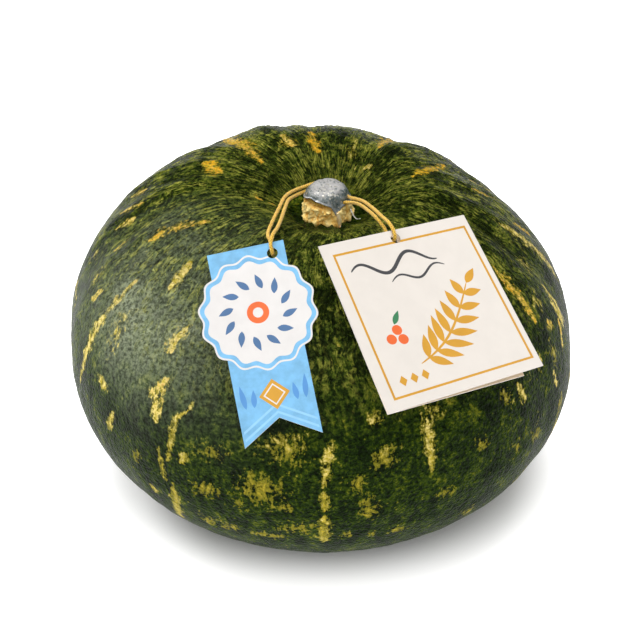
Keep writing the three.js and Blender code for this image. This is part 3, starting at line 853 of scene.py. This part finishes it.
def card_axes(place):
    """A card's matrix in millimetres: x across it, y up towards its top edge, z out of its face."""
    turn = (Matrix.Rotation(math.radians(place["azimuth"]), 3, "Z")
            @ Matrix.Rotation(math.radians(90 - place["elevation"]), 3, "X")
            @ Matrix.Rotation(math.radians(place["roll"]), 3, "Z"))
    return np.array(turn), np.array(place["hole"], float)


def loop_through_hole(place):
    turn, hole = card_axes(place)
    rise = CARD_THICKNESS / 2 + GAP + CORD_RADIUS
    points = []
    for degrees in (0, 35, 70, 105, 140, 175):
        angle = math.radians(degrees)
        local = (0, LOOP_RADIUS * (1 - math.sin(angle)), rise + LOOP_RADIUS * (math.cos(angle) - 1))
        points.append(tuple(hole + turn @ np.array(local)))
    return points


RIBBON_CORD = [
    neck_point(62), neck_point(80), neck_point(98), neck_point(116),
    (-3, 5.2, 138.7), (-6.6, 2.1, 138.9), (-10.2, -3.2, 140.4), (-12.6, -9.5, 142.6), (-13.8, -18, 144.8),
    (-15.1, -30, 147.6), (-16.7, -41, 150), (-18.4, -47.6, 151),
    *loop_through_hole(RIBBON_PLACE),
    (-19.4, -43.6, 145.7), (-20.4, -38.8, 145.5), (-18.9, -30, 145.3), (-16.2, -18, 144.5),
    (-14.3, -9.5, 143.7), (-11.7, -3.2, 142.2), (-7.3, 2.4, 140.8), (-3.2, 5.4, 140.5),
    neck_point(116, 1), neck_point(98, 1), neck_point(80, 1),
]
FOLDED_CARD_CORD = [
    neck_point(46), neck_point(30), neck_point(14),
    (11.5, -2.1, 139.1), (13.9, -5.9, 140.8), (17, -11.8, 143.5), (20.4, -20.8, 146.4),
    (24, -30.5, 148.7), (27, -36.6, 149.2),
    *loop_through_hole(CARD_PLACE),
    (25.2, -33.7, 144.9), (22, -29.1, 146.9), (19, -21.5, 145.3), (15.6, -12.6, 142.4),
    (12.9, -7.7, 140), (9.9, -5.6, 138.7),
    neck_point(-62), neck_point(-80), neck_point(-100), neck_point(-125), neck_point(-150), neck_point(-172),
]
CORD_SIDES = 24
CORD_RINGS = 700
TWIST_LENGTH = 3.4


def make_cord(name, route, node, material):
    """A cord of three plies, twisted, on the route that its solid has."""
    path, length = centripetal([np.array(p, float) for p in route], CORD_RINGS)
    along = np.linspace(0, length, CORD_RINGS)[:, None]
    turn = np.linspace(0, math.tau, CORD_SIDES, endpoint=False)[None, :]
    plies = np.abs(np.cos(1.5 * (turn - math.tau * along / TWIST_LENGTH / 3)))
    piece = make_tube(name, path, CORD_RADIUS * (0.86 + 0.14 * plies), CORD_SIDES, material)
    uv = piece.data.uv_layers.new(name="along")
    corners = np.empty(len(piece.data.loops), np.int32)
    piece.data.loops.foreach_get("vertex_index", corners)
    ring, side = np.divmod(np.clip(corners - 1, 0, CORD_RINGS * CORD_SIDES - 1), CORD_SIDES)
    polygons = piece.data.polygons
    starts = np.repeat([p.loop_start for p in polygons], [p.loop_total for p in polygons])
    wrapped = (side == 0) & (side[starts] != 0) | (side == 0) & (np.roll(side, 1) == CORD_SIDES - 1)
    across = np.where(wrapped, CORD_SIDES, side) / CORD_SIDES
    places = np.stack([across, ring / (CORD_RINGS - 1) * length * MM], 1)
    uv.data.foreach_set("uv", places.astype(np.float32).ravel())
    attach(piece, BODY)
    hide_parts(node)
    return piece


# Flat printed shapes, in millimetres from the middle of a card's hole

def circle(x, y, radius, count=40):
    turns = [math.tau * i / count for i in range(count)]
    return [(x + radius * math.cos(turn), y + radius * math.sin(turn)) for turn in turns]


def scalloped(x, y, radius):
    count = BADGE["scallops"] * 12
    points = []
    for i in range(count):
        turn = math.tau * i / count
        reach = radius + BADGE["scallop"] * math.cos(BADGE["scallops"] * turn)
        points.append((x + reach * math.sin(turn), y + reach * math.cos(turn)))
    return points[::-1]


def box(left, bottom, right, top):
    return [(left, bottom), (right, bottom), (right, top), (left, top)]


def leaf(x, y, length, width, degrees):
    """A pointed leaf that grows from x, y in a direction."""
    turn = math.radians(degrees)
    points = []
    for i, side in [(i, 1) for i in range(9)] + [(i, -1) for i in range(7, 0, -1)]:
        share = i / 8
        points.append((length * share, side * width / 2 * math.sin(math.pi * share ** 0.8)))
    return [(x + a * math.cos(turn) - b * math.sin(turn), y + a * math.sin(turn) + b * math.cos(turn))
            for a, b in points]


def lozenge(x, y, half_width, half_height):
    return [(x - half_width, y), (x, y - half_height), (x + half_width, y), (x, y + half_height)]


def chevron(x, y, half_width, drop, band):
    return [(x - half_width, y), (x - half_width, y - band), (x, y - drop - band), (x + half_width, y - band),
            (x + half_width, y), (x, y - drop)]


def stroke(curve, width, steps):
    """A line that follows curve(share) and thins out towards its two ends."""
    left, right = [], []
    for i in range(steps + 1):
        share = i / steps
        x, y = curve(share)
        ax, ay = curve(share + 0.001)
        length = math.hypot(ax - x, ay - y)
        nx, ny = -(ay - y) / length, (ax - x) / length
        half = width / 2 * (0.25 + 0.75 * math.sin(math.pi * i / steps) ** 0.5)
        left.append((x + nx * half, y + ny * half))
        right.append((x - nx * half, y - ny * half))
    return left + right[::-1]


def printed_sheet(regions, spacing=2.2):
    """Triangles of a flat sheet with each printed region's outline in them.

    regions are (outline, slot), each over the ones before it. A slot of None cuts a hole.
    """
    points, faces = [], []
    for outline, _ in regions:
        area = sum(a[0] * b[1] - b[0] * a[1] for a, b in zip(outline, outline[1:] + outline[:1]))
        faces.append(list(range(len(points), len(points) + len(outline))))
        points += [Vector(p) for p in (outline if area > 0 else outline[::-1])]
    xs = [p.x for p in points]
    ys = [p.y for p in points]
    for x in np.arange(min(xs) + spacing / 2, max(xs), spacing):
        for y in np.arange(min(ys) + spacing / 2, max(ys), spacing):
            points.append(Vector((x, y)))
    flat, _, triangles, _, _, parents = delaunay_2d_cdt(points, [], faces, 0, 1e-5)
    kept, slots = [], []
    for triangle, parent in zip(triangles, parents):
        if not parent or regions[max(parent)][1] is None:
            continue
        a, b, c = (flat[i] for i in triangle)
        turned = (b - a).cross(c - a) < 0
        kept.append(tuple(reversed(triangle)) if turned else tuple(triangle))
        slots.append(regions[max(parent)][1])
    return [(p.x, p.y) for p in flat], kept, slots


def sheet_solid(flat, triangles, slots, thickness, edge_slot, bend):
    """Gives a printed sheet its thickness. bend(x, y) is how far it stands out of its own plane."""
    used = sorted({i for triangle in triangles for i in triangle})
    number = {old: new for new, old in enumerate(used)}
    count = len(used)
    middle = np.array([(*flat[i], bend(*flat[i])) for i in used])
    points = np.concatenate([middle + (0, 0, thickness / 2), middle - (0, 0, thickness / 2)])
    front = [tuple(number[i] for i in triangle) for triangle in triangles]
    back = [tuple(count + i for i in reversed(triangle)) for triangle in front]
    edges = {}
    for a, b, c in front:
        for edge in ((a, b), (b, c), (c, a)):
            edges[edge] = True
    walls = [(b, a, count + a, count + b) for a, b in edges if (b, a) not in edges]
    faces = front + back + walls
    return points, faces, list(slots) + [edge_slot] * (len(back) + len(walls))


def make_ribbon(materials):
    """The blue card: a swallow-tailed strip with a scalloped badge of leaves round a disc."""
    right = RIBBON["right"]
    left = right - RIBBON["width"]
    middle = (left + right) / 2
    top = RIBBON["above"]
    foot = top - RIBBON["length"]
    y = -BADGE["below"]
    sky, white, deep, slate, orange, gold, light = range(7)
    strip = [(left, top), (left, foot), (middle, foot + RIBBON["notch"]), (right, foot), (right, top)]
    regions = [(strip, sky)]
    for step in range(2):
        band = chevron(middle, foot + 6.2 - 3.0 * step, RIBBON["width"] / 2 - 0.8, -8.6, 1.0)
        regions.append((band, light))
    leaves = ((left + 3.4, 9.5, 96), (left + 6.6, 7, 84), (right - 3.4, 9.5, 84), (right - 6.6, 7, 96))
    for x, tall, lean in leaves:
        regions.append((leaf(x, foot + 14.5, tall, 2.2, lean), deep))
    for half, slot in ((6.0, gold), (4.3, white), (3.6, gold)):
        regions.append((lozenge(middle, foot + 18.3, half, half), slot))
    for inset, slot in ((0, white), (0.75, sky), (2.5, white)):
        regions.append((scalloped(middle, y, BADGE["radius"] - inset), slot))
    for step in range(12):
        turn = step * 30 + 9
        x = middle + 9.6 * math.cos(math.radians(turn))
        regions.append((leaf(x, y + 9.6 * math.sin(math.radians(turn)), 6.4, 2.6, turn + 38), slate))
    regions.append((circle(middle, y, 4.3), orange))
    regions.append((circle(middle, y, 2.0, 24), white))
    regions.append((circle(0, 0, HOLE_RADIUS), None))
    flat, triangles, slots = printed_sheet(regions)

    def bend(x, y):
        return 0.25 * math.sin((x - middle) / 17) ** 2 - 0.2 * ((y + 40) / 40) ** 2 + 0.2

    points, faces, slots = sheet_solid(flat, triangles, slots, SHEET_THICKNESS, white, bend)
    turn, hole = card_axes(RIBBON_PLACE)
    return make_piece("ribbon_card_print", placed(points @ turn.T + hole), faces, materials, slots, False)


def gold_border(left, bottom, right, top, band, gold, paper):
    outer = box(left, bottom, right, top)
    inner = box(left + band, bottom + band, right - band, top - band)
    return [(outer, gold), (inner, paper)]


def make_folded_card(materials):
    """The white card: two leaves that meet in a fold, the front one printed with a sprig in a gold border."""
    left = -CARD["from_fold"]
    right = left + CARD["width"]
    back_right = left + CARD["back_width"]
    top = CARD["above"]
    foot = top - CARD["height"]
    paper, gold, charcoal, green, orange, inside = range(6)

    def stalk(share):
        return (left + 21 + 33 * share, foot + 15 + 27 * share - 5 * math.sin(math.pi * share))

    def high_wave(share):
        return (left + 9 + 38 * share, top - 14.5 + 3.2 * math.sin(1.7 * math.tau * share + 0.4) + 2 * share)

    def low_wave(share):
        return (left + 24 + 25 * share, top - 21 + 1.8 * math.sin(1.5 * math.tau * share) + 2 * share)

    front = [(box(left, foot, right, top), paper)]
    front += gold_border(left + 4.3, foot + 4.2, right - 2.1, top - 4.7, 0.95, gold, paper)
    front.append((stroke(stalk, 1.0, 40), gold))
    for step in range(7):
        share = 0.12 + 0.13 * step
        x, y = stalk(share)
        ax, ay = stalk(share + 0.01)
        heading = math.degrees(math.atan2(ay - y, ax - x))
        size = 12.5 - 9 * abs(share - 0.4)
        front.append((leaf(x, y, size, 3.5, heading + 58), gold))
        front.append((leaf(x, y, size, 3.5, heading - 52), gold))
    tip = stalk(1.0)
    front.append((leaf(*tip, 8, 3.4, 42), gold))
    for x, y in ((left + 13.5, foot + 27.5), (left + 17.2, foot + 30.6), (left + 18.2, foot + 26.4)):
        front.append((circle(x, y, 2.1, 24), orange))
    front.append((leaf(left + 17, foot + 33, 6.5, 2.4, 52), green))
    front.append((stroke(high_wave, 1.5, 60), charcoal))
    front.append((stroke(low_wave, 1.0, 40), charcoal))
    for step in range(3):
        front.append((lozenge(left + 11 + 4.8 * step, foot + 10.5, 1.7, 2.2), gold))
    front.append((circle(0, 0, HOLE_RADIUS), None))

    # The back leaf's face is the card's inside, painted brighter and warmer than the paper: painted light on
    # a leaf that lies in shade.
    back = [(box(left, foot, back_right, top), inside), (circle(0, 0, HOLE_RADIUS), None)]
    opening = math.radians(CARD["opening"])

    def twist(x, y):
        across = (x - left) / CARD["width"] * 2 - 1
        upward = (y - foot) / CARD["height"] * 2 - 1
        return -CARD_TWIST * across * upward

    all_points, all_faces, all_slots = [], [], []
    for regions, is_back in ((front, False), (back, True)):
        flat, triangles, slots = printed_sheet(regions)
        points, faces, slots = sheet_solid(flat, triangles, slots, SHEET_THICKNESS, paper, twist)
        if is_back:
            from_fold = points[:, 0] - left
            lifted = points[:, 2].copy()
            points[:, 0] = left + from_fold * math.cos(opening) + lifted * math.sin(opening)
            points[:, 2] = lifted * math.cos(opening) - from_fold * math.sin(opening) - CARD_THICKNESS * 0.4
        start = sum(len(p) for p in all_points)
        all_points.append(points)
        all_faces += [tuple(start + i for i in face) for face in faces]
        all_slots += slots
    turn, hole = card_axes(CARD_PLACE)
    points = placed(np.concatenate(all_points) @ turn.T + hole)
    return make_piece("folded_card_print", points, all_faces, materials, all_slots, False)


# Small runs of wax

def make_runs(amber, pale):
    """The clear run down the cork under the drip, and a hair of wax beside the stem."""
    bearing = DRIP_BEARING

    def on_cork(degrees, radius, height):
        angle = bearing + math.radians(degrees)
        return np.array([STEM_SHIFT + radius * math.cos(angle), radius * math.sin(angle), height])

    heights = (136.4, 134.6, 132.6, 130.8, 129.4)
    reaches = (10.5, 10.7, 10.8, 11.0, 11.9)
    path, _ = centripetal([on_cork(i * 1.2, r, h) for i, (r, h) in enumerate(zip(reaches, heights))], 60)
    share = np.linspace(0, 1, 60)[:, None]
    width = 0.55 + 0.35 * np.sin(math.pi * share) + 0.35 * np.exp(-(((share - 0.93) / 0.07) ** 2))
    width = width * np.sqrt(np.clip(1.02 - share ** 12, 0.02, 1))
    run = make_tube("amber_run", path, width, 20, amber)
    hair_route = [(12.2, -4.2, 134.8), (13.2, -6.0, 133.2), (14.6, -8.2, 132.6), (16.2, -9.6, 133.6)]
    path, _ = centripetal([np.array(p, float) for p in hair_route], 50)
    share = np.linspace(0, 1, 50)[:, None]
    hair = make_tube("wax_hair", path, 0.26 - 0.12 * share, 10, pale)
    return run, hair


# The room: a pale floor that glows, with a painted shadow round the fruit, and soft light

FLOOR_SIDE = 3.0
# The floor's glow is painted dark round the fruit as a painted shadow.
SHADE_RADIUS = 0.058  # in metres: the floor is shaded out to here, and bright from BRIGHT_RADIUS outwards
BRIGHT_RADIUS = 0.096
ROOM_LIGHT = 0.30
LAMP_AIM = (0, 0, 0.08)


def make_room():
    floor = Finish("floor")
    floor.set(Base_Color=(0.90, 0.90, 0.90, 1), Roughness=0.8, Specular_IOR_Level=0.1)
    ring = floor.stretch(floor.place(), 0.8, 1.1, 1)
    distance = floor.node("ShaderNodeVectorMath", {0: ring}, operation="LENGTH")
    # Painted shadow: the floor's own glow fades out near the fruit; the glowing floor also lights the fruit
    # from below.
    glow_with_painted_shadow = floor.remap(distance.outputs["Value"], SHADE_RADIUS, BRIGHT_RADIUS, 0.06, 0.85)
    floor.set(Emission_Color=(1, 0.995, 0.99, 1), Emission_Strength=glow_with_painted_shadow)
    side = FLOOR_SIDE
    corners = [(-side, -side, 0), (side, -side, 0), (side, side, 0), (-side, side, 0)]
    plane = make_piece("floor", corners, [(0, 1, 2, 3)], [floor.material], None, False)

    world = bpy.data.worlds.new("room")
    world.use_nodes = True
    world.node_tree.nodes["Background"].inputs["Color"].default_value = (1, 0.99, 0.98, 1)
    world.node_tree.nodes["Background"].inputs["Strength"].default_value = ROOM_LIGHT
    bpy.context.scene.world = world

    for name, place, size, power in (
            ("soft_box_left", (-0.80, 0.25, 0.95), 0.50, 8.0),
            ("soft_box_front", (-0.05, -0.85, 0.85), 0.60, 3.5),
            ("soft_box_top", (0.05, 0.15, 1.3), 1.1, 15.5)):
        data = bpy.data.lights.new(name, "AREA")
        data.shape = "SQUARE"
        data.size = size
        data.energy = power
        light = bpy.data.objects.new(name, data)
        light.location = place
        aim = Vector(LAMP_AIM) - Vector(place)
        light.rotation_euler = aim.to_track_quat("-Z", "Y").to_euler()
        bpy.context.scene.collection.objects.link(light)
    bpy.context.scene.view_settings.view_transform = "Standard"


def dress(piece, node):
    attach(piece, BODY)
    if node:
        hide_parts(node)


make_camera()
yellow_cord = cord_finish()
make_cord("ribbon_cord_twist", RIBBON_CORD, "ribbon_card_cord", yellow_cord)
make_cord("folded_card_cord_twist", FOLDED_CARD_CORD, "folded_card_cord", yellow_cord)
dress(make_rind(rind_finish()), "squash_fruit")
dress(make_stem(cork_finish()), "squash_fruit")
dress(make_wax(wax_finish()), "stem_wax")
for run in make_runs(amber_finish(), pale_wax_finish()):
    dress(run, None)

white_print = ink("white_print", (0.610, 0.590, 0.575), 0.5, 0.03)
gold_print = ink("gold_print", (0.520, 0.255, 0.006), 0.45, 0.05)
orange_print = ink("orange_print", (0.660, 0.105, 0.010), 0.45, 0.08)
ribbon_inks = [
    ink("sky_print", (0.145, 0.380, 0.610), 0.5, 0.12, 220), white_print,
    ink("deep_blue_print", (0.060, 0.230, 0.520)), ink("slate_print", (0.045, 0.120, 0.260)),
    orange_print, gold_print, ink("pale_blue_print", (0.230, 0.480, 0.700)),
]
dress(make_ribbon(ribbon_inks), "ribbon_card")
card_inks = [
    ink("card_paper", (0.630, 0.585, 0.535), 0.65, 0.02), gold_print,
    ink("charcoal_print", (0.030, 0.030, 0.034)), ink("green_print", (0.020, 0.160, 0.060)),
    # The inside colour is the paper painted brighter and warmer: painted light on the shaded inner leaf.
    orange_print, ink("card_inside_painted_light", (0.860, 0.700, 0.500), 0.7, 0.03),
]
dress(make_folded_card(card_inks), "folded_card")
make_room()
